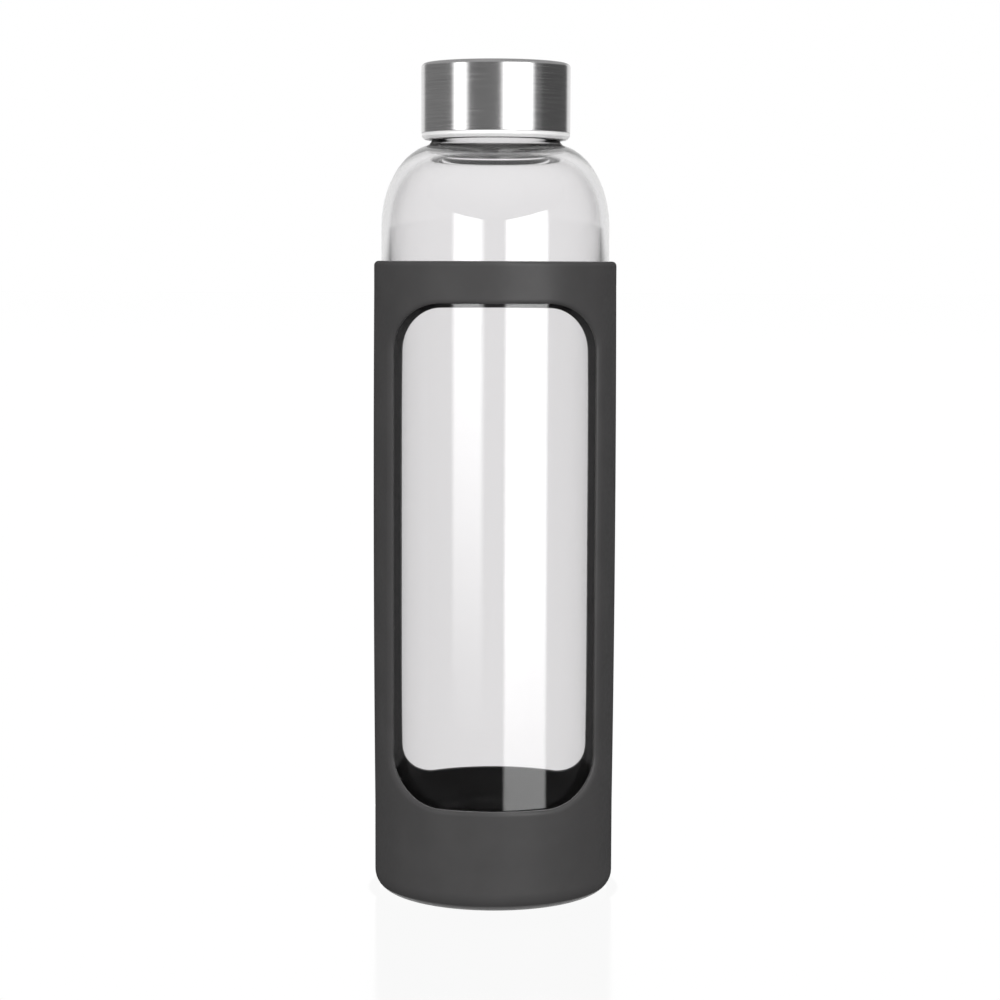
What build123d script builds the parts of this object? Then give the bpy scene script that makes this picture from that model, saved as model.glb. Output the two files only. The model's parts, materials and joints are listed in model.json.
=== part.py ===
from build123d import *
from math import acos, cos, degrees, hypot, pi, radians, sin
import os

# Glass drinking bottle in a silicone sleeve, closed by a steel-clad screw cap.
# Millimetres. +Z is up along the bottle's axis, the origin is the centre of the underside,
# and the front window of the sleeve faces -Y.

# ---- driving dimensions ----------------------------------------------------------------

clearance = 0.05  # gap between pieces that touch on the real bottle

# silicone sleeve
sleeve_radius = 35.1  # top band, round the rim
sleeve_band_radius = 34.9  # bottom band
rail_radius = 35.3  # the side rails bow out a little between the two bands
rail_widest = 95.0  # height at which they do
sleeve_height = 184.2
sleeve_floor = 2.5
sleeve_base_round = 5.5  # outer roll between wall and underside
sleeve_rim_round = 1.3
sleeve_rim_inner_round = 0.4
foot_recess_radius = 24.0  # shallow hollow that leaves a standing ring
foot_recess_depth = 0.8
window_bottom = 29.3
front_window_top = 172.4
front_window_width = 57.4
front_window_rounds = (13.5, 13.5)  # lower and upper corners
back_window_top = 170.2
back_window_width = 60.0
back_window_rounds = (11.0, 12.5)
window_edge_round = 0.7
rail_bottom = 26.0
rail_top = 176.0

# glass bottle
glass_radius = 33.0
glass_wall = 2.6
throat_wall = 3.1  # at the top of the shoulder, where the glass is thicker
glass_floor = 5.5
heel_round = 5.0
inner_heel_round = 9.0
punt_radius = 24.0  # push-up under the bottle
punt_depth = 2.0
shoulder_start = 193.8  # where the body begins to close in
shoulder_rise = 24.05
shoulder_centre_radius = 16.65
shoulder_neck_round = 2.4  # concave blend into the neck
neck_radius = 17.9
bead_radius = 18.3  # collar between shoulder and thread
bead_top = 220.2
mouth_radius = 15.5
mouth_throat_round = 1.0
lip_height = 236.9
lip_round = 0.9

# single-start, right-handed screw thread shared by neck and cap
thread_lead = 4.2
thread_turns = 1.5
thread_crest_width = 1.0
thread_root_width = 2.4
thread_rooting = 0.5  # how far a rib is sunk in the wall that carries it
thread_fade = 22.0  # degrees over which each end of a rib runs out
neck_thread_crest = 19.2
neck_thread_start = 227.4
cap_thread_crest = 18.2
cap_thread_drop = 1.6  # the cap's rib lies this far under the neck's when the cap is tight

# cap
cap_top = 240.7
shell_radius = 21.5
shell_wall = 0.45
shell_height = 19.8
shell_top_round = 1.1
insert_bore = 19.5
insert_top_round = 0.8
band_height = 1.9  # plastic rim that shows under the steel
band_radius = 21.4
band_chamfer = 0.9
seal_inner_radius = 13.6
seal_radius = 19.1
seal_thickness = 2.0
seal_round = 0.3
retainer_radius = 18.9  # ridge that the seal snaps past
retainer_height = 0.6

# ---- derived dimensions ----------------------------------------------------------------

sleeve_bore = glass_radius + clearance
glass_base = sleeve_floor + clearance
inner_radius = glass_radius - glass_wall
inner_floor = glass_base + glass_floor
shoulder_width = glass_radius - shoulder_centre_radius
shoulder_angle = degrees(acos((bead_radius - shoulder_centre_radius) / shoulder_width))
throat_height = shoulder_start + shoulder_rise - throat_wall
shell_bottom = cap_top - shell_height
band_bottom = shell_bottom - band_height
insert_radius = shell_radius - shell_wall - clearance
insert_top = cap_top - shell_wall - clearance
seal_base = lip_height + clearance
seal_top = seal_base + seal_thickness
insert_ceiling = seal_top + clearance
retainer_base = lip_height - retainer_height


def corner(section, x, z):
    """The vertex of a section that lies nearest to a point of its outline."""
    return section.vertices().sort_by_distance((x, z))[0]


def rib_plane(radius, angle, height):
    """The plane square to the thread's helix at an angle past its start."""
    turn = radians(angle)
    outward = (cos(turn), sin(turn), 0)
    along = (-sin(turn), cos(turn), thread_lead / (2 * pi * radius))
    centre = (radius * cos(turn), radius * sin(turn), height + thread_lead * angle / 360)
    return Plane(origin=centre, x_dir=outward, z_dir=along)


def thread_rib(wall_radius, crest_radius, start_height):
    """A helical rib that stands out from a wall, outwards or inwards, and fades at both ends."""
    side = 1 if crest_radius > wall_radius else -1
    root_radius = wall_radius - side * thread_rooting
    crest = crest_radius - root_radius
    thread_angle = 360 * thread_turns

    def rib_section(angle, height):
        with BuildSketch(rib_plane(root_radius, angle, start_height)) as section:
            with BuildLine():
                Polyline(
                    (0, -thread_root_width / 2),
                    (height, -thread_crest_width / 2),
                    (height, thread_crest_width / 2),
                    (0, thread_root_width / 2),
                    close=True,
                )
            make_face()
        return section.sketch

    with BuildPart() as rib:
        with BuildLine() as path:
            Helix(thread_lead, thread_turns * thread_lead, root_radius, (0, 0, start_height))
        sweep(rib_section(0, crest), path.line, is_frenet=True)
        sunk = side * thread_rooting / 2
        loft([rib_section(0, crest), rib_section(-thread_fade, sunk)])
        loft([rib_section(thread_angle, crest), rib_section(thread_angle + thread_fade, sunk)])
    return rib.part


os.makedirs("parts", exist_ok=True)

# ---- silicone sleeve -------------------------------------------------------------------
# A one-piece moulded cup with a floor, a full band at the top and bottom, and two slightly
# bowed side rails between a front and a back window. The window walls run along Y.

with BuildPart() as silicone_sleeve:
    with BuildSketch(Plane.XZ) as sleeve_section:
        with BuildLine():
            Polyline(
                (0, foot_recess_depth),
                (foot_recess_radius, foot_recess_depth),
                (foot_recess_radius, 0),
                (sleeve_band_radius, 0),
                (sleeve_band_radius, rail_bottom),
            )
            ThreePointArc(
                (sleeve_band_radius, rail_bottom),
                (rail_radius, rail_widest),
                (sleeve_radius, rail_top),
            )
            Polyline(
                (sleeve_radius, rail_top),
                (sleeve_radius, sleeve_height),
                (sleeve_bore, sleeve_height),
                (sleeve_bore, sleeve_floor),
                (0, sleeve_floor),
                (0, foot_recess_depth),
            )
        make_face()
        fillet(corner(sleeve_section, sleeve_band_radius, 0), sleeve_base_round)
        fillet(corner(sleeve_section, sleeve_radius, sleeve_height), sleeve_rim_round)
        fillet(corner(sleeve_section, sleeve_bore, sleeve_height), sleeve_rim_inner_round)
        fillet(corner(sleeve_section, sleeve_bore, sleeve_floor), heel_round - 0.5)
    revolve(axis=Axis.Z)
    for window_width, window_top, window_rounds, side in (
        (front_window_width, front_window_top, front_window_rounds, 1),
        (back_window_width, back_window_top, back_window_rounds, -1),
    ):
        window_height = window_top - window_bottom
        with BuildSketch(Plane.XZ) as window:
            with Locations((0, window_bottom + window_height / 2)):
                Rectangle(window_width, window_height)
            for x in (-window_width / 2, window_width / 2):
                fillet(corner(window, x, window_bottom), window_rounds[0])
                fillet(corner(window, x, window_top), window_rounds[1])
        extrude(amount=side * 2 * sleeve_radius, mode=Mode.SUBTRACT)

    def rims_a_window(edge):
        """True for an edge where a window meets the outer wall, and not for the wall's seam."""
        middle = edge @ 0.5
        outside = hypot(middle.X, middle.Y) > sleeve_band_radius - 0.01
        beside_window = abs(middle.X) < back_window_width / 2 + 0.01
        return outside and beside_window and window_bottom - 1 < middle.Z < front_window_top + 1

    fillet(silicone_sleeve.edges().filter_by(rims_a_window), window_edge_round)
silicone_sleeve.part.label = "silicone_sleeve"
export_step(silicone_sleeve.part, "parts/silicone_sleeve.step")

# ---- glass bottle ----------------------------------------------------------------------
# A blown bottle: a push-up base, a straight body, an elliptical shoulder, and a neck with a
# collar and a screw thread under a rounded lip.

neck_rib = thread_rib(neck_radius, neck_thread_crest, neck_thread_start)

with BuildPart() as glass_bottle:
    with BuildSketch(Plane.XZ) as glass_section:
        with BuildLine():
            punt_arc = TangentArc(
                (0, glass_base + punt_depth), (punt_radius, glass_base), tangent=(1, 0)
            )
            Polyline(punt_arc @ 1, (glass_radius, glass_base), (glass_radius, shoulder_start))
            shoulder_arc = EllipticalCenterArc(
                (shoulder_centre_radius, shoulder_start),
                shoulder_width,
                shoulder_rise,
                arc_size=shoulder_angle,
            )
            Polyline(
                shoulder_arc @ 1,
                (bead_radius, bead_top),
                (neck_radius, bead_top + bead_radius - neck_radius),
                (neck_radius, lip_height),
                (mouth_radius, lip_height),
                (mouth_radius, throat_height),
                (shoulder_centre_radius, throat_height),
            )
            EllipticalCenterArc(
                (shoulder_centre_radius, shoulder_start),
                shoulder_width - glass_wall,
                shoulder_rise - throat_wall,
                arc_size=90,
            )
            Polyline(
                (inner_radius, shoulder_start),
                (inner_radius, inner_floor),
                (0, inner_floor),
                punt_arc @ 0,
            )
        make_face()
        fillet(corner(glass_section, glass_radius, glass_base), heel_round)
        fillet(corner(glass_section, inner_radius, inner_floor), inner_heel_round)
        neck_root = shoulder_arc @ 1
        fillet(corner(glass_section, neck_root.X, neck_root.Y), shoulder_neck_round)
        fillet(corner(glass_section, mouth_radius, throat_height), mouth_throat_round)
        fillet(corner(glass_section, neck_radius, lip_height), lip_round)
        fillet(corner(glass_section, mouth_radius, lip_height), lip_round)
    revolve(axis=Axis.Z)
    add(neck_rib)
glass_bottle.part.label = "glass_bottle"
export_step(glass_bottle.part, "parts/glass_bottle.step")

# ---- cap: threaded insert --------------------------------------------------------------
# The plastic core of the cap: a threaded skirt with a rim under the steel, a top disc, and
# a ridge that keeps the seal in.

insert_rib = thread_rib(insert_bore, cap_thread_crest, neck_thread_start - cap_thread_drop)

with BuildPart() as cap_threaded_insert:
    with BuildSketch(Plane.XZ) as insert_section:
        with BuildLine():
            Polyline(
                (0, insert_ceiling),
                (insert_bore, insert_ceiling),
                (insert_bore, seal_base),
                (retainer_radius, seal_base - clearance),
                (retainer_radius, retainer_base),
                (insert_bore, retainer_base - retainer_height),
                (insert_bore, band_bottom),
                (band_radius, band_bottom),
                (band_radius, shell_bottom - clearance),
                (insert_radius, shell_bottom - clearance),
                (insert_radius, insert_top),
                (0, insert_top),
                close=True,
            )
        make_face()
        fillet(corner(insert_section, insert_radius, insert_top), insert_top_round)
        chamfer(corner(insert_section, band_radius, band_bottom), band_chamfer)
    revolve(axis=Axis.Z)
    add(insert_rib)
cap_threaded_insert.part.label = "cap_threaded_insert"
export_step(cap_threaded_insert.part, "parts/cap_threaded_insert.step")

# ---- cap: steel shell ------------------------------------------------------------------
# A thin drawn steel cup pressed over the insert.

with BuildPart() as cap_steel_shell:
    with BuildSketch(Plane.XZ) as shell_section:
        with BuildLine():
            Polyline(
                (0, cap_top),
                (shell_radius, cap_top),
                (shell_radius, shell_bottom),
                (shell_radius - shell_wall, shell_bottom),
                (shell_radius - shell_wall, cap_top - shell_wall),
                (0, cap_top - shell_wall),
                close=True,
            )
        make_face()
        inner_round = shell_top_round - shell_wall
        fillet(corner(shell_section, shell_radius, cap_top), shell_top_round)
        fillet(corner(shell_section, shell_radius - shell_wall, cap_top - shell_wall), inner_round)
    revolve(axis=Axis.Z)
cap_steel_shell.part.label = "cap_steel_shell"
export_step(cap_steel_shell.part, "parts/cap_steel_shell.step")

# ---- cap: seal ring --------------------------------------------------------------------
# A flat silicone ring that the lip of the glass presses against the top disc.

with BuildPart() as cap_seal_ring:
    with BuildSketch(Plane.XZ):
        with Locations(((seal_inner_radius + seal_radius) / 2, (seal_base + seal_top) / 2)):
            RectangleRounded(seal_radius - seal_inner_radius, seal_thickness, seal_round)
    revolve(axis=Axis.Z)
cap_seal_ring.part.label = "cap_seal_ring"
export_step(cap_seal_ring.part, "parts/cap_seal_ring.step")
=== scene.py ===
import json
import math

import bmesh
import bpy
import numpy as np
from mathutils import Matrix, Vector


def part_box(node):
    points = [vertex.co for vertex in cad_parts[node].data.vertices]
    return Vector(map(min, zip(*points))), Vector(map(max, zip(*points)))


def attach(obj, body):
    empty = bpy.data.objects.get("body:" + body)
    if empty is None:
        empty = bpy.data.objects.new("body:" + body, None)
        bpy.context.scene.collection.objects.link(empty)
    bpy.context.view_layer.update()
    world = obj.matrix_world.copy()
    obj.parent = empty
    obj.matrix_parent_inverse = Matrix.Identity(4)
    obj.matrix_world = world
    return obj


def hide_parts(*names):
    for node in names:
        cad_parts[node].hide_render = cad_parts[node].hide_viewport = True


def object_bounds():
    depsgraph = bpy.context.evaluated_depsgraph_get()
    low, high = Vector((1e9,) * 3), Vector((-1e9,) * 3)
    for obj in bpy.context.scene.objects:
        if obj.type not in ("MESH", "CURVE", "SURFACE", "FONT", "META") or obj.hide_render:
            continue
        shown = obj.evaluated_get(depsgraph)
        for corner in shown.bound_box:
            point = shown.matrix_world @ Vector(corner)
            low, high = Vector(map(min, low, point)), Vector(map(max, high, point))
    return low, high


# Glass bottle in a silicone sleeve with a brushed steel screw cap. Metres, in the CAD's frame:
# +Z is the bottle's axis, and the sleeve's front window faces -Y. Each CAD solid is replaced by
# a finer mesh of the same size, built here from the frame's boxes and the sizes below.

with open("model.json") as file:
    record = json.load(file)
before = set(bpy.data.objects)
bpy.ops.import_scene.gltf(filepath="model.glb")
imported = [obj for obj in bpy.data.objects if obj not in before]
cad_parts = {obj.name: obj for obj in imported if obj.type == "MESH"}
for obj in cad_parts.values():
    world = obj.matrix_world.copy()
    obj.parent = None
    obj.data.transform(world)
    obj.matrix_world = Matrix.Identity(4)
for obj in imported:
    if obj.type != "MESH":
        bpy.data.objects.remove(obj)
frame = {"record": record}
cad_low, cad_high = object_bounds()

# ---- sizes -----------------------------------------------------------------------------

MM = 0.001
DOME_RADIUS = 0.9

glass_low, glass_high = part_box("glass_bottle")
shell_low, shell_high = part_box("cap_steel_shell")
insert_low, insert_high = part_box("cap_threaded_insert")
seal_low, seal_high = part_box("cap_seal_ring")
mount_radius = {m["name"]: m["dims"].get("r_mm", 0) * MM for m in frame["record"]["mounts"]}

CLEARANCE = 0.05 * MM

SLEEVE_RADIUS = 35.1 * MM
SLEEVE_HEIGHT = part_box("silicone_sleeve")[1].z
SLEEVE_BAND_RADIUS = mount_radius["cup_holder_band"]
SLEEVE_BORE = glass_high.x + CLEARANCE
SLEEVE_FLOOR = glass_low.z - CLEARANCE
SLEEVE_BASE_ROUND = 5.5 * MM
SLEEVE_RIM_ROUND = 1.3 * MM
SLEEVE_RIM_INNER_ROUND = 0.4 * MM
SLEEVE_INNER_ROUND = 4.5 * MM
FOOT_RECESS_RADIUS = 24.0 * MM
FOOT_RECESS_DEPTH = 0.8 * MM
RAIL_RADIUS = 35.3 * MM
RAIL_BOTTOM = 26.0 * MM
RAIL_WIDEST = 95.0 * MM
RAIL_TOP = 176.0 * MM
WINDOW_BOTTOM = 29.3 * MM
WINDOW_OUTER_EDGE = 0.7 * MM
WINDOW_INNER_EDGE = 0.3 * MM
FOOT_RECESS_SLOPE = 0.8 * MM
FOOT_RECESS_OUTER_ROUND = 0.3 * MM
FOOT_RECESS_INNER_ROUND = 0.4 * MM
# Each window's half width and top, the rounding of its lower and upper corners, and how far
# its sides bow out.
FRONT_WINDOW = (28.7 * MM, 172.4 * MM, 13.5 * MM, 13.5 * MM, 0)
BACK_WINDOW = (30.0 * MM, 170.2 * MM, 11.0 * MM, 12.5 * MM, 0.6 * MM)

GLASS_RADIUS = glass_high.x
GLASS_WALL = 2.6 * MM
THROAT_WALL = 3.1 * MM
GLASS_FLOOR = 5.5 * MM
HEEL_ROUND = 5.0 * MM
INNER_HEEL_ROUND = 9.0 * MM
PUNT_RADIUS = 24.0 * MM
PUNT_DEPTH = 2.0 * MM
SHOULDER_START = 193.8 * MM
SHOULDER_RISE = 24.05 * MM
SHOULDER_CENTRE = 16.65 * MM
SHOULDER_NECK_ROUND = 2.4 * MM
NECK_RADIUS = 17.9 * MM
BEAD_RADIUS = 18.3 * MM
BEAD_TOP = 220.2 * MM
MOUTH_RADIUS = mount_radius["mouth"]
THROAT_ROUND = 1.8 * MM
LIP_ROUND = 0.9 * MM
BEAD_ROUND = 0.25 * MM
BEAD_FOOT_ROUND = 0.3 * MM
PUNT_EDGE_WIDTH = 0.4 * MM
PUNT_EDGE_ROUND = 0.6 * MM

THREAD_LEAD = 4.2 * MM
THREAD_TURNS = 1.5
THREAD_CREST_WIDTH = 1.0 * MM
THREAD_ROOT_WIDTH = 2.2 * MM
THREAD_FADE = math.radians(22)
NECK_THREAD_CREST = mount_radius["neck_thread"]
NECK_THREAD_START = 227.4 * MM
CAP_THREAD_CREST = 18.2 * MM
CAP_THREAD_DROP = 1.6 * MM

SHELL_WALL = 0.45 * MM
SHELL_TOP_ROUND = 1.1 * MM
SHELL_EDGE_ROUND = 0.12 * MM
INSERT_BORE = 19.5 * MM
INSERT_EDGE_ROUND = 0.15 * MM
INSERT_TOP_ROUND = 0.8 * MM
BAND_CHAMFER = 0.9 * MM
BAND_ROUND = 0.4 * MM
SEAL_INNER_RADIUS = 13.6 * MM
SEAL_ROUND = 0.3 * MM
RETAINER_RADIUS = 18.9 * MM
RETAINER_HEIGHT = 0.6 * MM

# How finely the turned parts are divided: round the axis, and along their outlines.
BOTTLE_SEGMENTS = 200
CAP_SEGMENTS = 192
SHOULDER_STEPS = 60
BOTTLE_STEP = 4 * MM
SLEEVE_STEP = 2.5 * MM
SLEEVE_SUPPORT = 0.3 * MM
SHELL_STEP = 2 * MM
SEAL_STEP = 1 * MM
NECK_STEP = 0.3 * MM
INSERT_STEP = 0.35 * MM
THREAD_SUPPORT = 0.12 * MM

# Points closer than the first are merged, and the thread rises only from points within the
# second of its wall's radius.
MERGE_DISTANCE = 1e-6
SAME_WALL = 0.01 * MM

# ---- outlines: lists of (r, z) points --------------------------------------------------


def elliptic_arc(centre, radii, start, end, steps):
    """Points of an elliptic arc, its angles in degrees from the outward direction."""
    angles = np.radians(np.linspace(start, end, steps + 1))
    return [
        (centre[0] + radii[0] * math.cos(a), centre[1] + radii[1] * math.sin(a)) for a in angles
    ]


def rounded(corners, steps=6):
    """Points of an outline given as (r, z) or (r, z, rounding) corners; its ends stay sharp."""
    points = []
    for i, corner in enumerate(corners):
        here = Vector(corner[:2])
        if len(corner) == 2 or i == 0 or i == len(corners) - 1:
            points.append(here)
            continue
        before = (Vector(corners[i - 1][:2]) - here).normalized()
        after = (Vector(corners[i + 1][:2]) - here).normalized()
        half = before.angle(after) / 2
        centre = here + (before + after).normalized() * corner[2] / math.sin(half)
        first = here + before * corner[2] / math.tan(half) - centre
        last = here + after * corner[2] / math.tan(half) - centre
        turn = first.angle_signed(last)
        for step in range(steps + 1):
            angle = -turn * step / steps
            points.append(centre + Matrix.Rotation(angle, 2) @ first)
    return [tuple(p) for p in points]


def refined(points, longest, support=0.25 * MM):
    """The same outline with long stretches divided, and a point close to each of their ends."""
    result = [points[0]]
    for start, end in zip(points, points[1:]):
        length = math.dist(start, end)
        if length > 4 * support:
            inner = np.linspace(support, length - support, max(2, round(length / longest) + 1))
            for along in inner:
                share = along / length
                result.append(tuple(np.add(start, np.subtract(end, start) * share)))
        result.append(end)
    return result


# ---- meshes ----------------------------------------------------------------------------


def mesh_object(name, vertices, faces):
    """A smooth-shaded object, its doubles merged and its faces turned outwards."""
    mesh = bpy.data.meshes.new(name)
    mesh.from_pydata([tuple(v) for v in vertices], [], faces)
    work = bmesh.new()
    work.from_mesh(mesh)
    bmesh.ops.remove_doubles(work, verts=work.verts, dist=MERGE_DISTANCE)
    bmesh.ops.recalc_face_normals(work, faces=work.faces)
    for face in work.faces:
        face.smooth = True
    work.to_mesh(mesh)
    work.free()
    made = bpy.data.objects.new(name, mesh)
    bpy.context.scene.collection.objects.link(made)
    return made


def grid_faces(rows, columns, first=0, closed=True):
    """Quads between consecutive rows of points, numbered row by row."""
    span = columns if closed else columns - 1
    faces = []
    for i in range(rows - 1):
        for j in range(span):
            a = first + i * columns + j
            b = first + i * columns + (j + 1) % columns
            faces.append((a, b, b + columns, a + columns))
    return faces


def lathe(name, outline, segments, relief=None):
    """Turns an outline about the axis. relief(angles, radii, heights) moves points outwards."""
    radii = np.array([p[0] for p in outline])[:, None]
    heights = np.array([p[1] for p in outline])[:, None]
    angles = np.linspace(0, 2 * math.pi, segments, endpoint=False)[None, :]
    reach = radii + np.zeros_like(angles)
    if relief:
        reach = reach + relief(angles, radii, heights)
    x, y = reach * np.cos(angles), reach * np.sin(angles)
    z = heights + np.zeros_like(angles)
    vertices = np.stack([x, y, z], axis=-1).reshape(-1, 3)
    return mesh_object(name, vertices, grid_faces(len(outline), segments))


def ease(value):
    """0 below 0, 1 above 1, and smooth between."""
    value = np.clip(value, 0, 1)
    return value * value * (3 - 2 * value)


def thread(wall_radius, crest_radius, start_height):
    """A relief that raises a helical rib from the wall at wall_radius."""
    root, crest = THREAD_ROOT_WIDTH / 2, THREAD_CREST_WIDTH / 2
    length = 2 * math.pi * THREAD_TURNS

    def relief(angles, radii, heights):
        rise = 0
        for turn in range(-1, 3):
            along = angles + 2 * math.pi * turn
            off = np.abs(heights - start_height - THREAD_LEAD * along / (2 * math.pi))
            ends = ease(1 + along / THREAD_FADE) * ease(1 + (length - along) / THREAD_FADE)
            rise = np.maximum(rise, ease((root - off) / (root - crest)) * ends)
        on_wall = np.abs(radii - wall_radius) < SAME_WALL
        return (crest_radius - wall_radius) * rise * on_wall

    return relief


# ---- the sleeve ------------------------------------------------------------------------
# Each half of the sleeve is a net of lines that run from the window's outline to the half's
# border: the two seams at +X and -X, and a ring above and below the window.

SIDE_STEPS = 72  # along a straight side of the window
END_STEPS = 28  # along its straight top or bottom
CORNER_UP_STEPS = 12  # of a corner, the share that runs out to a seam
CORNER_ACROSS_STEPS = 26  # and the share that runs out to a ring
RING_LOW = WINDOW_BOTTOM - 5.5 * MM
RING_HIGH = FRONT_WINDOW[1] + 5.0 * MM
OUTER_LINES = 20  # of the net on the outer wall
INNER_LINES = 12  # and on the inner wall
LINE_SPREAD = 0.25  # 1 spaces the lines evenly; less draws them towards the window
OUTER_EDGE_LEAD = 1.8
OUTER_EDGE_STEPS = 8
INNER_EDGE_LEAD = 1
INNER_EDGE_STEPS = 3
WALL_SHARES = (0.15, 0.5, 0.85)  # where rows cross the window's wall


def outer_radius(z):
    """The sleeve's outer radius: plain bands, and rails that bow out between them."""
    bow = np.polyfit(
        [RAIL_BOTTOM, RAIL_WIDEST, RAIL_TOP], [SLEEVE_BAND_RADIUS, RAIL_RADIUS, SLEEVE_RADIUS], 2
    )
    return np.polyval(bow, np.clip(z, RAIL_BOTTOM, RAIL_TOP))


def inner_radius(z):
    """The sleeve's inner radius, the same at every height."""
    return SLEEVE_BORE + 0 * np.asarray(z)


def window_outline(half_width, top, low_round, high_round, bow):
    """The window's outline as x and z, anticlockwise from the foot of its right side."""
    low, high = WINDOW_BOTTOM + low_round, top - high_round
    low_x, high_x = half_width - low_round, half_width - high_round
    quarter = np.radians(np.linspace(0, 90, CORNER_UP_STEPS + CORNER_ACROSS_STEPS + 1))[:-1]
    stretches = []
    for start, end, steps, corner in (
        ((half_width, low), (half_width, high), SIDE_STEPS, (high_x, high, high_round, 0)),
        ((high_x, top), (-high_x, top), END_STEPS, (-high_x, high, high_round, 1)),
        ((-half_width, high), (-half_width, low), SIDE_STEPS, (-low_x, low, low_round, 2)),
        ((-low_x, WINDOW_BOTTOM), (low_x, WINDOW_BOTTOM), END_STEPS, (low_x, low, low_round, 3)),
    ):
        stretches.append(np.linspace(start, end, steps + 1)[:-1])
        x, z, size, number = corner
        angles = quarter + number * math.pi / 2
        arc = [x + size * np.cos(angles), z + size * np.sin(angles)]
        stretches.append(np.stack(arc, axis=-1))
    x, z = np.concatenate(stretches).T
    half_height = (top - WINDOW_BOTTOM) / 2
    from_middle = (z - WINDOW_BOTTOM) / half_height - 1
    return x * (1 + bow / half_width * (1 - from_middle**4)), z


def half_border():
    """Where each line of the net ends: angle from the half's middle, and height.

    The angles at which lines meet the ring above the window come third.
    """
    half_width, top, low_round, high_round = FRONT_WINDOW[:4]
    side_x = half_width - high_round
    low, high = WINDOW_BOTTOM + low_round, top - high_round
    seam = math.pi / 2
    middle = np.arcsin(np.linspace(side_x, -side_x, END_STEPS + 1) / SLEEVE_RADIUS)
    across = np.linspace(seam, middle[0], CORNER_ACROSS_STEPS + 1)
    ring_angles = np.concatenate([across[:-1], middle[:-1], -across[::-1][:-1]])
    right = np.concatenate([
        np.linspace(low, high, SIDE_STEPS + 1)[:-1],
        np.linspace(high, RING_HIGH, CORNER_UP_STEPS + 1)[:-1],
    ])
    left = np.concatenate([
        np.linspace(RING_HIGH, high, CORNER_UP_STEPS + 1)[:-1],
        np.linspace(high, low, SIDE_STEPS + 1)[:-1],
        np.linspace(low, RING_LOW, CORNER_UP_STEPS + 1)[:-1],
    ])
    last = np.linspace(low, RING_LOW, CORNER_UP_STEPS + 1)[::-1][:-1]
    stretches = [
        np.broadcast_arrays(angle, height)
        for angle, height in (
            (seam, right),
            (ring_angles, RING_HIGH),
            (-seam, left),
            (-ring_angles, RING_LOW),
            (seam, last),
        )
    ]
    angles, heights = (np.concatenate(part) for part in zip(*stretches))
    return angles, heights, ring_angles


def on_wall(angle, z, radius):
    """Points of the front half's wall at angles from -Y towards +X."""
    return np.stack([radius(z) * np.sin(angle), -radius(z) * np.cos(angle), z], axis=-1)


def unit(vectors):
    """The vectors scaled to length 1."""
    return vectors / np.linalg.norm(vectors, axis=-1, keepdims=True)


def edge_frame(x, z, radius):
    """Along a window edge: wall angle, outward normal on the unrolled wall, and directions."""
    angle = np.arcsin(x / radius(z))
    along_x = (np.roll(x, -1) - np.roll(x, 1)) / np.cos(angle)
    along = np.stack([along_x, np.roll(z, -1) - np.roll(z, 1)])
    along = along / np.linalg.norm(along, axis=0)
    normal = np.stack([along[1], -along[0]])
    around = np.stack([np.cos(angle), np.sin(angle), 0 * angle], axis=-1)
    up = np.array([0, 0, 1.0])
    away = normal[0][:, None] * around + normal[1][:, None] * up
    tangent = along[0][:, None] * around + along[1][:, None] * up
    return angle, normal, away, tangent


def rounded_edge(x, z, radius, wall_way, size, lead, steps):
    """The net's first line, and the rows of a rounded edge from it into the window's wall.

    lead is how many times farther the rounding reaches along the wall than into the window.
    """
    angle, normal, away, tangent = edge_frame(x, z, radius)
    through = np.array([0, wall_way, 0.0])
    inwards = unit(through - (tangent @ through)[:, None] * tangent)
    wedge = np.arccos(np.clip(np.sum(away * inwards, axis=-1), -1, 1))
    reach = size / np.tan(wedge / 2)
    start_angle = angle + normal[0] * reach * lead / radius(z)
    start_z = z + normal[1] * reach * lead
    start = on_wall(start_angle, start_z, radius)
    corner = on_wall(angle, z, radius)
    end = corner + inwards * reach[:, None]
    weight = np.sin(wedge / 2)[:, None]
    rows = []
    for t in np.linspace(0, 1, steps + 1)[1:]:
        a, b, c = (1 - t) ** 2, 2 * t * (1 - t) * weight, t**2
        rows.append((a * start + b * corner + c * end) / (a + b + c))
    return start_angle, start_z, rows


def net(start_angle, start_z, border_angle, border_z, radius, lines):
    """Rows of points from the window's edge to the border, closer together near the edge."""
    rows = []
    for t in np.linspace(0, 1, lines + 1):
        share = LINE_SPREAD * t + (1 - LINE_SPREAD) * t * t
        angle = start_angle + (border_angle - start_angle) * share
        z = start_z + (border_z - start_z) * share
        rows.append(on_wall(angle, z, radius))
    return rows


def half_sleeve(window, border_angle, border_z):
    """Points of one half, from its outer border over the window's edge to its inner border."""
    x, z = window_outline(*window)
    outer_angle, outer_z, outer_edge = rounded_edge(
        x, z, outer_radius, 1, WINDOW_OUTER_EDGE, OUTER_EDGE_LEAD, OUTER_EDGE_STEPS
    )
    inner_angle, inner_z, inner_edge = rounded_edge(
        x, z, inner_radius, -1, WINDOW_INNER_EDGE, INNER_EDGE_LEAD, INNER_EDGE_STEPS
    )
    outer_net = net(outer_angle, outer_z, border_angle, border_z, outer_radius, OUTER_LINES)
    inner_net = net(inner_angle, inner_z, border_angle, border_z, inner_radius, INNER_LINES)
    wall = [outer_edge[-1] + (inner_edge[-1] - outer_edge[-1]) * t for t in WALL_SHARES]
    return outer_net[::-1] + outer_edge + wall + inner_edge[::-1] + inner_net


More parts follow.
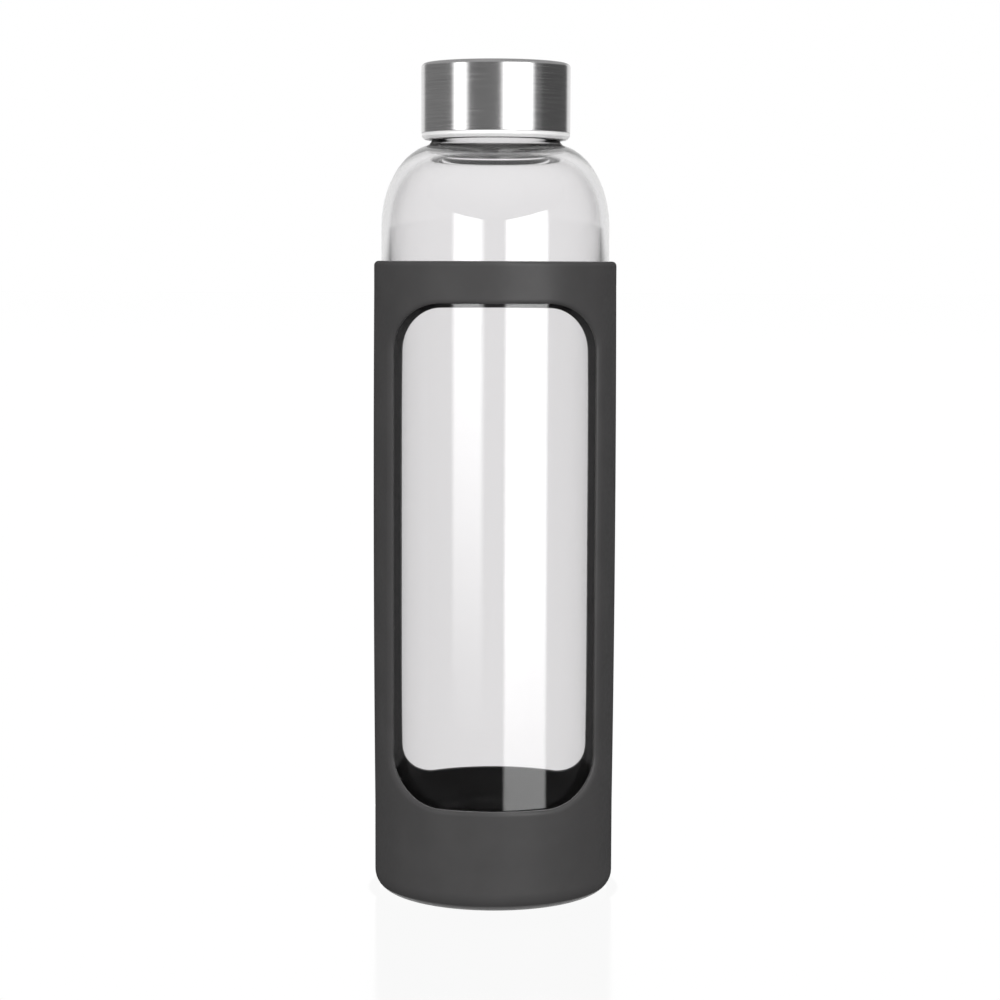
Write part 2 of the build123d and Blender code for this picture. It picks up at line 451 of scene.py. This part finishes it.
def build_sleeve():
    """Both halves with their windows, and the turned rim, base and floor that join them."""
    border_angle, border_z, ring_angles = half_border()
    vertices, faces = [], []
    for window, turn in ((FRONT_WINDOW, 1), (BACK_WINDOW, -1)):
        rows = half_sleeve(window, border_angle, border_z)
        faces += grid_faces(len(rows), len(border_angle), first=len(vertices))
        for row in rows:
            vertices += list(row * np.array([turn, turn, 1]))
    around = np.concatenate([ring_angles, ring_angles + math.pi]) - math.pi / 2
    rim = rounded([
        (outer_radius(RING_HIGH), RING_HIGH),
        (SLEEVE_RADIUS, SLEEVE_HEIGHT, SLEEVE_RIM_ROUND),
        (SLEEVE_BORE, SLEEVE_HEIGHT, SLEEVE_RIM_INNER_ROUND),
        (SLEEVE_BORE, RING_HIGH),
    ])
    base = rounded([
        (outer_radius(RING_LOW), RING_LOW),
        (SLEEVE_BAND_RADIUS, 0, SLEEVE_BASE_ROUND),
        (FOOT_RECESS_RADIUS, 0, FOOT_RECESS_OUTER_ROUND),
        (FOOT_RECESS_RADIUS - FOOT_RECESS_SLOPE, FOOT_RECESS_DEPTH, FOOT_RECESS_INNER_ROUND),
        (0, FOOT_RECESS_DEPTH),
    ], steps=10)
    cup = rounded([
        (SLEEVE_BORE, RING_LOW),
        (SLEEVE_BORE, SLEEVE_FLOOR, SLEEVE_INNER_ROUND),
        (0, SLEEVE_FLOOR),
    ], steps=10)
    for outline in (rim, base, cup):
        outline = refined(outline, SLEEVE_STEP, SLEEVE_SUPPORT)
        faces += grid_faces(len(outline), len(around), first=len(vertices))
        for r, z in outline:
            vertices += [(r * math.cos(a), r * math.sin(a), z) for a in around]
    return mesh_object("sleeve_moulded", vertices, faces)


# ---- the bottle and the cap ------------------------------------------------------------


def shoulder_and_blend():
    """The shoulder's outer ellipse, and the concave arc that leads from it into the neck."""
    width = GLASS_RADIUS - SHOULDER_CENTRE
    angles = np.linspace(0, math.pi / 2, 2000)
    normal_r = np.cos(angles) / width
    normal_z = np.sin(angles) / SHOULDER_RISE
    length = np.hypot(normal_r, normal_z)
    reach = SHOULDER_CENTRE + width * np.cos(angles) + SHOULDER_NECK_ROUND * normal_r / length
    centre_r = BEAD_RADIUS + SHOULDER_NECK_ROUND
    meet = float(np.interp(centre_r, reach[::-1], angles[::-1]))
    shoulder = elliptic_arc(
        (SHOULDER_CENTRE, SHOULDER_START), (width, SHOULDER_RISE), 0, math.degrees(meet),
        SHOULDER_STEPS,
    )
    last_r, last_z = shoulder[-1]
    tilt = math.acos((centre_r - last_r) / SHOULDER_NECK_ROUND)
    centre_z = last_z + SHOULDER_NECK_ROUND * math.sin(tilt)
    blend = elliptic_arc(
        (centre_r, centre_z), (SHOULDER_NECK_ROUND, SHOULDER_NECK_ROUND),
        180 + math.degrees(tilt), 180, 10,
    )
    return shoulder, blend


def build_bottle():
    """The blown glass as one closed outline, from under the base over the lip to the floor."""
    base = glass_low.z
    lip = glass_high.z
    floor = base + GLASS_FLOOR
    bore = GLASS_RADIUS - GLASS_WALL
    shoulder_width = GLASS_RADIUS - SHOULDER_CENTRE
    throat = SHOULDER_START + SHOULDER_RISE - THROAT_WALL
    shoulder, blend = shoulder_and_blend()
    punt = elliptic_arc((0, base), (PUNT_RADIUS, PUNT_DEPTH), 90, 15, 12)
    foot = rounded([
        punt[-1],
        (PUNT_RADIUS + PUNT_EDGE_WIDTH, base, PUNT_EDGE_ROUND),
        (GLASS_RADIUS, base, HEEL_ROUND),
        (GLASS_RADIUS, SHOULDER_START),
    ], steps=12)
    neck = rounded([
        blend[-1],
        (BEAD_RADIUS, BEAD_TOP, BEAD_ROUND),
        (NECK_RADIUS, BEAD_TOP + BEAD_RADIUS - NECK_RADIUS, BEAD_FOOT_ROUND),
        (NECK_RADIUS, lip, LIP_ROUND),
        (MOUTH_RADIUS, lip, LIP_ROUND),
        (MOUTH_RADIUS, throat, THROAT_ROUND),
        (SHOULDER_CENTRE, throat),
    ], steps=8)
    inside = elliptic_arc(
        (SHOULDER_CENTRE, SHOULDER_START),
        (shoulder_width - GLASS_WALL, SHOULDER_RISE - THROAT_WALL), 90, 0, SHOULDER_STEPS,
    )
    cup = rounded([(bore, SHOULDER_START), (bore, floor, INNER_HEEL_ROUND), (0, floor)], steps=16)
    body = refined(punt[:-1] + foot, BOTTLE_STEP) + shoulder[1:] + blend[1:]
    finish = refined(neck, NECK_STEP, THREAD_SUPPORT)
    outline = body + finish[1:] + inside[1:] + refined(cup, BOTTLE_STEP)[1:]
    relief = thread(NECK_RADIUS, NECK_THREAD_CREST, NECK_THREAD_START)
    return lathe("bottle_blown_glass", outline, BOTTLE_SEGMENTS, relief)


def build_shell():
    """The drawn steel cup, open below."""
    top, bottom, radius = shell_high.z, shell_low.z, shell_high.x
    outline = rounded([
        (0, top),
        (radius, top, SHELL_TOP_ROUND),
        (radius, bottom, SHELL_EDGE_ROUND),
        (radius - SHELL_WALL, bottom, SHELL_EDGE_ROUND),
        (radius - SHELL_WALL, top - SHELL_WALL, SHELL_TOP_ROUND - SHELL_WALL),
        (0, top - SHELL_WALL),
    ], steps=8)
    return lathe("cap_brushed_shell", refined(outline, SHELL_STEP), CAP_SEGMENTS)


def build_insert():
    """The plastic core: inner thread, seat and retaining lip of the seal, and the outer band."""
    top, bottom, band = insert_high.z, insert_low.z, insert_high.x
    radius = shell_high.x - SHELL_WALL - CLEARANCE
    step = shell_low.z - CLEARANCE
    seat = seal_low.z
    edge = INSERT_EDGE_ROUND
    outline = rounded([
        (0, seal_high.z + CLEARANCE),
        (INSERT_BORE, seal_high.z + CLEARANCE, edge),
        (INSERT_BORE, seat, edge / 2),
        (RETAINER_RADIUS, seat - CLEARANCE, edge / 2),
        (RETAINER_RADIUS, seat - CLEARANCE - RETAINER_HEIGHT, edge),
        (INSERT_BORE, seat - CLEARANCE - 2 * RETAINER_HEIGHT, edge),
        (INSERT_BORE, bottom, BAND_ROUND),
        (band - BAND_CHAMFER, bottom, BAND_ROUND),
        (band, bottom + BAND_CHAMFER, BAND_ROUND),
        (band, step, edge),
        (radius, step, edge),
        (radius, top, INSERT_TOP_ROUND),
        (0, top),
    ])
    relief = thread(INSERT_BORE, CAP_THREAD_CREST, NECK_THREAD_START - CAP_THREAD_DROP)
    outline = refined(outline, INSERT_STEP, THREAD_SUPPORT)
    return lathe("cap_moulded_insert", outline, CAP_SEGMENTS, relief)


def build_seal():
    """The flat ring that the lip of the glass presses on."""
    low, high, radius = seal_low.z, seal_high.z, seal_high.x
    middle = (SEAL_INNER_RADIUS + radius) / 2
    outline = rounded([
        (middle, low),
        (radius, low, SEAL_ROUND),
        (radius, high, SEAL_ROUND),
        (SEAL_INNER_RADIUS, high, SEAL_ROUND),
        (SEAL_INNER_RADIUS, low, SEAL_ROUND),
        (middle, low),
    ])
    return lathe("cap_moulded_seal", refined(outline, SEAL_STEP), CAP_SEGMENTS)


# ---- materials -------------------------------------------------------------------------

SILICONE_DARK = (0.0575, 0.0562, 0.0567)
SILICONE_LIGHT = (0.0645, 0.0630, 0.0635)
STEEL_DARK = (0.56, 0.555, 0.56)
STEEL_LIGHT = (0.68, 0.675, 0.675)
GLASS_TINT = (0.92, 0.913, 0.918, 1)
INSERT_COLOUR = (0.78, 0.775, 0.775, 1)
SEAL_COLOUR = (0.72, 0.73, 0.72, 1)
NOISE_MIDDLE = (0.3, 0.7)  # the part of a noise factor's range that is made use of
BRUSH_STRETCH = 60.0  # how much finer the brushed lines are across than along


def add_node(tree, kind, inputs=None, **settings):
    """Adds a shader node. inputs maps a socket's name or number to a value or another socket."""
    made = tree.nodes.new(kind)
    for name, value in settings.items():
        setattr(made, name, value)
    for key, value in (inputs or {}).items():
        if isinstance(value, bpy.types.NodeSocket):
            tree.links.new(value, made.inputs[key])
        else:
            made.inputs[key].default_value = value
    return made


def principled(name, values):
    """A material with one Principled shader, and its node tree."""
    material = bpy.data.materials.new(name)
    material.use_nodes = True
    shader = material.node_tree.nodes["Principled BSDF"]
    for key, value in values.items():
        shader.inputs[key].default_value = value
    return material, material.node_tree, shader


def grain(tree, scale, detail=2.0, stretch=(1, 1, 1)):
    """Noise in the piece's own space, with its size in cycles per metre."""
    place = add_node(tree, "ShaderNodeTexCoord")
    sized = add_node(tree, "ShaderNodeMapping", {
        "Vector": place.outputs["Object"], "Scale": stretch,
    })
    return add_node(tree, "ShaderNodeTexNoise", {
        "Vector": sized.outputs[0], "Scale": scale, "Detail": detail,
    }).outputs["Fac"]


def spread(tree, factor, low, high):
    """Maps a noise factor onto the range from low to high."""
    return add_node(tree, "ShaderNodeMapRange", {
        "Value": factor, "From Min": NOISE_MIDDLE[0], "From Max": NOISE_MIDDLE[1],
        "To Min": low, "To Max": high,
    }).outputs[0]


def mixed_colour(tree, factor, low, high):
    """A colour between low and high."""
    made = add_node(tree, "ShaderNodeMix", data_type="RGBA")
    socket = {s.identifier: s for s in made.inputs}
    tree.links.new(factor, socket["Factor_Float"])
    socket["A_Color"].default_value = (*low, 1)
    socket["B_Color"].default_value = (*high, 1)
    return next(s for s in made.outputs if s.identifier == "Result_Color")


def bump(tree, shader, height, distance, strength):
    """Lets a height, at most distance deep, tilt the shader's normal."""
    made = add_node(tree, "ShaderNodeBump", {
        "Height": height, "Distance": distance, "Strength": strength,
    })
    tree.links.new(made.outputs[0], shader.inputs["Normal"])


def grey(level):
    """An opaque colour with equal parts."""
    return (level, level, level, 1)


def silicone_material():
    """Matt dark grey silicone, faintly clouded."""
    material, tree, shader = principled("sleeve_silicone", {
        "IOR": 1.41, "Specular IOR Level": 0.5,
    })
    cloud = spread(tree, grain(tree, scale=90, detail=3), low=0.0, high=1.0)
    colour = mixed_colour(tree, cloud, SILICONE_DARK, SILICONE_LIGHT)
    tree.links.new(colour, shader.inputs["Base Color"])
    roughness = spread(tree, grain(tree, scale=700, detail=4), low=0.34, high=0.44)
    tree.links.new(roughness, shader.inputs["Roughness"])
    bump(tree, shader, grain(tree, scale=5200), distance=0.012 * MM, strength=0.6)
    return material


def glass_material():
    """Clear glass with a faint tint, and the slight waviness of blown glass."""
    material, tree, shader = principled("bottle_glass", {
        "Base Color": GLASS_TINT, "Roughness": 0.0, "IOR": 1.5, "Transmission Weight": 1.0,
    })
    waves = grain(tree, scale=14, detail=1, stretch=(1, 1, 0.5))
    bump(tree, shader, waves, distance=0.35 * MM, strength=0.12)
    return material


def steel_material():
    """Steel brushed in rings round the axis, on the side and on the top alike."""
    material, tree, shader = principled("cap_steel", {
        "Metallic": 1.0, "Anisotropic": 0.75, "Anisotropic Rotation": 0.25,
    })
    place = add_node(tree, "ShaderNodeTexCoord").outputs["Object"]
    parts = add_node(tree, "ShaderNodeSeparateXYZ", {0: place})
    flat = add_node(tree, "ShaderNodeCombineXYZ", {0: parts.outputs[0], 1: parts.outputs[1]})
    radius = add_node(tree, "ShaderNodeVectorMath", {0: flat.outputs[0]}, operation="LENGTH")
    across = add_node(tree, "ShaderNodeMath", {0: radius.outputs["Value"], 1: parts.outputs[2]})
    stretched = add_node(tree, "ShaderNodeMath", {
        0: across.outputs[0], 1: BRUSH_STRETCH,
    }, operation="MULTIPLY")
    lines = add_node(tree, "ShaderNodeCombineXYZ", {
        0: parts.outputs[0], 1: parts.outputs[1], 2: stretched.outputs[0],
    })
    fine = add_node(tree, "ShaderNodeTexNoise", {
        "Vector": lines.outputs[0], "Scale": 90.0, "Detail": 6.0,
    })
    share = spread(tree, fine.outputs["Fac"], low=0.0, high=1.0)
    colour = mixed_colour(tree, share, STEEL_DARK, STEEL_LIGHT)
    tree.links.new(colour, shader.inputs["Base Color"])
    roughness = spread(tree, fine.outputs["Fac"], low=0.17, high=0.27)
    tree.links.new(roughness, shader.inputs["Roughness"])
    tangent = add_node(tree, "ShaderNodeTangent", direction_type="RADIAL", axis="Z")
    tree.links.new(tangent.outputs[0], shader.inputs["Tangent"])
    bump(tree, shader, fine.outputs["Fac"], distance=0.01 * MM, strength=0.5)
    return material


def insert_material():
    """Pale moulded plastic."""
    material, tree, shader = principled("insert_plastic", {
        "Base Color": INSERT_COLOUR, "IOR": 1.49, "Subsurface Weight": 0.25,
        "Subsurface Radius": (1, 1, 1), "Subsurface Scale": 1.2 * MM,
    })
    roughness = spread(tree, grain(tree, scale=1200, detail=3), low=0.28, high=0.4)
    tree.links.new(roughness, shader.inputs["Roughness"])
    bump(tree, shader, grain(tree, scale=3000), distance=0.01 * MM, strength=0.4)
    return material


def seal_material():
    """Soft pale silicone."""
    material, tree, shader = principled("seal_silicone", {
        "Base Color": SEAL_COLOUR, "IOR": 1.41, "Subsurface Weight": 0.5,
        "Subsurface Radius": (1, 1, 1), "Subsurface Scale": 2 * MM,
    })
    roughness = spread(tree, grain(tree, scale=900, detail=3), low=0.45, high=0.6)
    tree.links.new(roughness, shader.inputs["Roughness"])
    bump(tree, shader, grain(tree, scale=4000), distance=0.01 * MM, strength=0.5)
    return material


# ---- the stage -------------------------------------------------------------------------
# Azimuths are in degrees from -Y towards +X, and levels are strengths of white light.

FLOOR_SIZE = 30
FLOOR_DROP = 0.02 * MM  # keeps the floor clear of the sleeve's foot, which stands at height 0
FLOOR_LEVEL = 1.002
FLOOR_MIRROR = 0.06
FLOOR_ROUGHNESS = 0.12

# What the glass mirrors: two softboxes, as left edge, right edge, softness and level.
LEFT_BOX = (-41.5, -12, 3.5, 8.0)
RIGHT_BOX = (10.2, 53.0, 2.5, 8.5)
BOX_TOP = 0.26
BOX_TOP_SLOPE = 0.0027  # rise of the softboxes' top, in metres for each degree aside
BOX_TOP_SOFTNESS = 0.004
LEFT_BOX_FADE = (-0.13, 0.15)  # heights on the dome
RIGHT_BOX_FADE = (-0.16, 0.0)
RIGHT_BOX_FADED = 0.58
BACK_FADE = (115, 140)
CEILING_FADE = (0.4, 0.85)
GLASS_BASE_LEVEL = 0.05

# What the steel mirrors: bands as left edge, right edge and level, and the light at the back.
STEEL_BANDS = (
    (-143, -68, 0.24), (-66.5, -45.5, 2.8), (-44, 11, 0.20),
    (11, 58, 2.8), (57, 73, 0.22), (73, 145, 0.11),
)
STEEL_SOFTNESS = 6
STEEL_BACK_FADE = (136, 148)
STEEL_BACK_LEVEL = 0.95
STEEL_OVERHEAD_FADE = (0.38, 0.5)
STEEL_OVERHEAD_LEVEL = 0.45

# What the sleeve mirrors: a weak image of the right softbox, and a base level.
SLEEVE_FADE = (-0.1, 0.15)
SLEEVE_SHARE = 0.2
SLEEVE_BASE_LEVEL = 0.05

# The backdrop, as level by distance aside in the camera's view, below and above the rim.
BACKDROP_LOW = (
    (0.0, 1.0), (0.06, 0.98), (0.1, 0.96), (0.15, 0.93), (0.2, 0.85), (0.3, 0.5), (0.45, 0.2),
)
BACKDROP_HIGH = ((0.0, 1.02), (0.2, 1.02), (0.35, 0.9), (0.6, 0.5), (1.0, 0.3))
BACKDROP_STEP = (0.072, 0.096)
MIRRORED_LOW, MIRRORED_HIGH = 0.15, 0.75
AMBIENT = ((-1, 0.4), (0.0, 0.45), (0.5, 0.6), (1, 0.8))
INSIDE_LEVEL = 0.4

# Name, azimuth, elevation, distance, size and power.
LAMPS = (
    ("key_right", 34, 15, 1.2, (0.6, 0.9), 6.6),
    ("key_left", -38, 15, 1.2, (0.6, 0.9), 6.6),
    ("back", 180, 15, 1.2, (1.2, 0.9), 9),
    ("top", 0, 80, 1.2, (0.8, 0.8), 3),
)
PLASTIC_LAMP = ("fill_plastic", 0, -35, 0.8, (0.8, 0.8), 2.6)

CAMERA_PLACE = (1.6 * MM, -742.7 * MM, 183.8 * MM)
CAMERA_PITCH = 0.0928
CAMERA_ROLL = 0.00365
CAMERA_LENS = 91.84
CAMERA_SENSOR = 36
CAMERA_CLIP = (0.01, 100)


def only_seen_by(made, glossy=False, camera=False):
    """Hides a stage object from every kind of ray but those named."""
    made.visible_camera = camera
    made.visible_glossy = glossy
    made.visible_diffuse = False
    made.visible_transmission = False
    made.visible_shadow = False
    made.visible_volume_scatter = False


def build_floor():
    """A pale floor that carries a faint mirror image; seen from below it is clear."""
    bpy.ops.mesh.primitive_plane_add(size=FLOOR_SIZE)
    floor = bpy.context.object
    floor.name = "floor"
    floor.location.z = -FLOOR_DROP
    material = bpy.data.materials.new("floor")
    material.use_nodes = True
    tree = material.node_tree
    tree.nodes.clear()
    glow = add_node(tree, "ShaderNodeEmission", {"Color": grey(1.0), "Strength": FLOOR_LEVEL})
    mirror = add_node(tree, "ShaderNodeBsdfGlossy", {
        "Color": grey(1.0), "Roughness": FLOOR_ROUGHNESS,
    })
    top = add_node(tree, "ShaderNodeMixShader", {
        0: FLOOR_MIRROR, 1: glow.outputs[0], 2: mirror.outputs[0],
    })
    side = add_node(tree, "ShaderNodeNewGeometry")
    clear = add_node(tree, "ShaderNodeBsdfTransparent")
    both = add_node(tree, "ShaderNodeMixShader", {
        0: side.outputs["Backfacing"], 1: top.outputs[0], 2: clear.outputs[0],
    })
    out = add_node(tree, "ShaderNodeOutputMaterial")
    tree.links.new(both.outputs[0], out.inputs[0])
    floor.data.materials.append(material)
    only_seen_by(floor, camera=True)


def ramp(tree, value, start, end):
    """0 up to start, 1 from end on, and smooth between; end may lie below start."""
    return add_node(tree, "ShaderNodeMapRange", {
        "Value": value, "From Min": start, "From Max": end,
    }, interpolation_type="SMOOTHSTEP").outputs[0]


def maths(tree, operation, first, second=0.0):
    """The result of one operation on two values."""
    made = add_node(tree, "ShaderNodeMath", {0: first, 1: second}, operation=operation)
    return made.outputs[0]


def product(tree, first, *others):
    """The product of several values."""
    result = first
    for other in others:
        result = maths(tree, "MULTIPLY", result, other)
    return result


def band(tree, azimuth, left, right, soft, level):
    """A band of light between two azimuths, with soft edges."""
    rise = ramp(tree, azimuth, left - soft, left + soft)
    fall = ramp(tree, azimuth, right + soft, right - soft)
    return product(tree, rise, fall, level)


def mixed(tree, factor, first, second):
    """first where the factor is 0, and second where it is 1 or more."""
    made = add_node(tree, "ShaderNodeMix", {"Factor": factor, "A": first, "B": second})
    return made.outputs["Result"]


def total(tree, levels):
    """The sum of several values."""
    result = levels[0]
    for level in levels[1:]:
        result = maths(tree, "ADD", result, level)
    return result


def build_dome():
    """The studio as reflections see it: softboxes in front, and a white backdrop behind.

    Each surface mirrors light of its own. Which one a ray left is told from where it started,
    so the heights of the steel are those of the closed bottle at rest.
    """
    bpy.ops.mesh.primitive_uv_sphere_add(radius=DOME_RADIUS, segments=96, ring_count=48)
    dome = bpy.context.object
    dome.name = "reflection_dome"
    material = bpy.data.materials.new("reflection_dome")
    material.use_nodes = True
    material.cycles.emission_sampling = "NONE"
    tree = material.node_tree
    tree.nodes.clear()
    geometry = add_node(tree, "ShaderNodeNewGeometry")
    place = add_node(tree, "ShaderNodeSeparateXYZ", {0: geometry.outputs["Position"]})
    x, y, z = place.outputs
    turn = maths(tree, "ARCTAN2", x, maths(tree, "MULTIPLY", y, -1.0))
    azimuth = maths(tree, "MULTIPLY", turn, 180 / math.pi)
    aside = maths(tree, "ABSOLUTE", azimuth)
    length = add_node(tree, "ShaderNodeLightPath").outputs["Ray Length"]
    way = add_node(tree, "ShaderNodeVectorMath", {
        0: geometry.outputs["Incoming"], "Scale": length,
    }, operation="SCALE").outputs[0]
    source = add_node(tree, "ShaderNodeSeparateXYZ", {
        0: add_node(tree, "ShaderNodeVectorMath", {0: geometry.outputs["Position"], 1: way}).outputs[0],
    })
    squares = [maths(tree, "POWER", source.outputs[i], 2.0) for i in (0, 1)]
    from_axis = maths(tree, "SQRT", total(tree, squares))
    from_steel = ramp(tree, source.outputs[2], shell_low.z - 0.1 * MM, shell_low.z + 0.1 * MM)
    round_start = shell_high.z - SHELL_TOP_ROUND
    from_top = ramp(tree, source.outputs[2], round_start - 0.1 * MM, round_start + 0.1 * MM)
    from_sleeve = ramp(tree, from_axis, GLASS_RADIUS + 0.3 * MM, GLASS_RADIUS + 0.8 * MM)
    from_floor = ramp(tree, from_axis, RAIL_RADIUS + 1 * MM, RAIL_RADIUS + 2 * MM)

    box_top = maths(tree, "ADD", maths(tree, "MULTIPLY", aside, BOX_TOP_SLOPE), BOX_TOP)
    under_top = ramp(tree, maths(tree, "SUBTRACT", z, box_top), BOX_TOP_SOFTNESS, -BOX_TOP_SOFTNESS)
    left_fade = ramp(tree, z, *LEFT_BOX_FADE)
    right_rise = product(tree, ramp(tree, z, *RIGHT_BOX_FADE), 1 - RIGHT_BOX_FADED)
    right_fade = maths(tree, "ADD", right_rise, RIGHT_BOX_FADED)
    left_box = band(tree, azimuth, *LEFT_BOX)
    right_box = band(tree, azimuth, *RIGHT_BOX)
    back = ramp(tree, aside, *BACK_FADE)
    glass_light = total(tree, [
        product(tree, left_box, left_fade, under_top),
        product(tree, right_box, right_fade, under_top),
        back,
        maths(tree, "ADD", ramp(tree, z, *CEILING_FADE), GLASS_BASE_LEVEL),
    ])
    steel_light = total(tree, [
        *(band(tree, azimuth, left, right, STEEL_SOFTNESS, level)
          for left, right, level in STEEL_BANDS),
        product(tree, ramp(tree, aside, *STEEL_BACK_FADE), STEEL_BACK_LEVEL),
    ])
    sleeve_light = total(tree, [
        product(tree, right_box, ramp(tree, z, *SLEEVE_FADE), SLEEVE_SHARE),
        SLEEVE_BASE_LEVEL,
    ])
    overhead = product(tree, from_top, ramp(tree, z, *STEEL_OVERHEAD_FADE))
    steel_light = mixed(tree, overhead, steel_light, STEEL_OVERHEAD_LEVEL)
    level = mixed(tree, from_steel, glass_light, steel_light)
    level = mixed(tree, from_sleeve, level, sleeve_light)
    level = mixed(tree, from_floor, level, 1.0)
    glow = add_node(tree, "ShaderNodeEmission", {"Color": grey(1.0), "Strength": level})
    out = add_node(tree, "ShaderNodeOutputMaterial")
    tree.links.new(glow.outputs[0], out.inputs[0])
    dome.data.materials.append(material)
    only_seen_by(dome, glossy=True)
    return dome


def build_lamp(name, azimuth, elevation, distance, size, power):
    """A soft lamp for the matt surfaces, aimed at the middle of the bottle."""
    data = bpy.data.lights.new(name, "AREA")
    data.shape = "RECTANGLE"
    data.size, data.size_y = size
    data.energy = power
    lamp = bpy.data.objects.new(name, data)
    bpy.context.scene.collection.objects.link(lamp)
    a, e = math.radians(azimuth), math.radians(elevation)
    way = Vector((math.sin(a) * math.cos(e), -math.cos(a) * math.cos(e), math.sin(e)))
    lamp.location = Vector((0, 0, cad_high.z / 2)) + way * distance
    lamp.rotation_euler = way.to_track_quat("Z", "Y").to_euler()
    lamp.visible_camera = False
    lamp.visible_glossy = False
    lamp.visible_transmission = False
    return lamp


def light_only(lamp, lit, shading):
    """Limits a lamp to the lit pieces, and the shadows in its light to the shading pieces."""
    for role, members in (("receiver_collection", lit), ("blocker_collection", shading)):
        group = bpy.data.collections.new(lamp.name + "_" + role)
        for member in members:
            group.objects.link(member)
        setattr(lamp.light_linking, role, group)


def grey_ramp(tree, value, stops):
    """A grey level read from (value, level) stops, whose values run from -1 to 1."""
    made = add_node(tree, "ShaderNodeValToRGB", {
        0: maths(tree, "ADD", maths(tree, "MULTIPLY", value, 0.5), 0.5),
    })
    elements = made.color_ramp.elements
    while len(elements) < len(stops):
        elements.new(0.5)
    for element, (position, level) in zip(elements, stops):
        element.position = (position + 1) / 2
        element.color = grey(level)
    return made.outputs[0]


def build_world():
    """White for the eye, and a backdrop behind the bottle for what the glass lets through.

    The backdrop turns with the camera, and is darker to the sides. Light that was mirrored inside
    the glass on its way out is darker still, and so is light for matt surfaces behind the glass.
    """
    world = bpy.data.worlds.new("studio")
    bpy.context.scene.world = world
    world.use_nodes = True
    tree = world.node_tree
    tree.nodes.clear()
    place = add_node(tree, "ShaderNodeTexCoord")
    view = add_node(tree, "ShaderNodeSeparateXYZ", {0: place.outputs["Camera"]})
    along = add_node(tree, "ShaderNodeSeparateXYZ", {0: place.outputs["Generated"]})
    path = add_node(tree, "ShaderNodeLightPath")
    aside = maths(tree, "ABSOLUTE", view.outputs[0])
    low = grey_ramp(tree, aside, BACKDROP_LOW)
    high = grey_ramp(tree, aside, BACKDROP_HIGH)
    upper = ramp(tree, view.outputs[1], *BACKDROP_STEP)
    backdrop = mixed(tree, upper, low, high)
    mirrored = maths(
        tree, "MULTIPLY",
        maths(tree, "MINIMUM", path.outputs["Glossy Depth"], 1.0),
        maths(tree, "MINIMUM", path.outputs["Transmission Depth"], 1.0),
    )
    mirrored_level = mixed(tree, upper, MIRRORED_LOW, MIRRORED_HIGH)
    through = mixed(tree, mirrored, backdrop, mirrored_level)
    ambient = grey_ramp(tree, along.outputs[2], AMBIENT)
    inside = mixed(tree, path.outputs["Transmission Depth"], ambient, INSIDE_LEVEL)
    bounced = mixed(tree, path.outputs["Diffuse Depth"], through, inside)
    level = mixed(tree, path.outputs["Is Camera Ray"], bounced, 1.0)
    glow = add_node(tree, "ShaderNodeBackground", {"Color": grey(1.0), "Strength": level})
    out = add_node(tree, "ShaderNodeOutputWorld")
    tree.links.new(glow.outputs[0], out.inputs[0])


def build_camera():
    """A long lens level with the sleeve's rim, looking about five degrees down."""
    data = bpy.data.cameras.new("camera")
    data.lens = CAMERA_LENS
    data.sensor_width = CAMERA_SENSOR
    data.clip_start, data.clip_end = CAMERA_CLIP
    camera = bpy.data.objects.new("camera", data)
    place = Matrix.Translation(CAMERA_PLACE)
    level = Matrix.Rotation(math.pi / 2 - CAMERA_PITCH, 4, "X")
    camera.matrix_world = place @ level @ Matrix.Rotation(CAMERA_ROLL, 4, "Z")
    bpy.context.scene.collection.objects.link(camera)
    bpy.context.scene.camera = camera


# ---- assembly --------------------------------------------------------------------------

pieces = {}
for node, body, build, finish in (
    ("silicone_sleeve", "sleeve", build_sleeve, silicone_material),
    ("glass_bottle", "bottle", build_bottle, glass_material),
    ("cap_steel_shell", "cap", build_shell, steel_material),
    ("cap_threaded_insert", "cap", build_insert, insert_material),
    ("cap_seal_ring", "seal", build_seal, seal_material),
):
    piece = build()
    piece.data.materials.append(finish())
    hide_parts(node)
    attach(piece, body)
    pieces[node] = piece

dome = build_dome()
for lamp in LAMPS:
    build_lamp(*lamp)
plastic = [pieces["cap_threaded_insert"], pieces["cap_seal_ring"]]
light_only(build_lamp(*PLASTIC_LAMP), lit=plastic, shading=[dome])
build_world()
build_floor()
build_camera()
bpy.context.scene.view_settings.view_transform = "Standard"
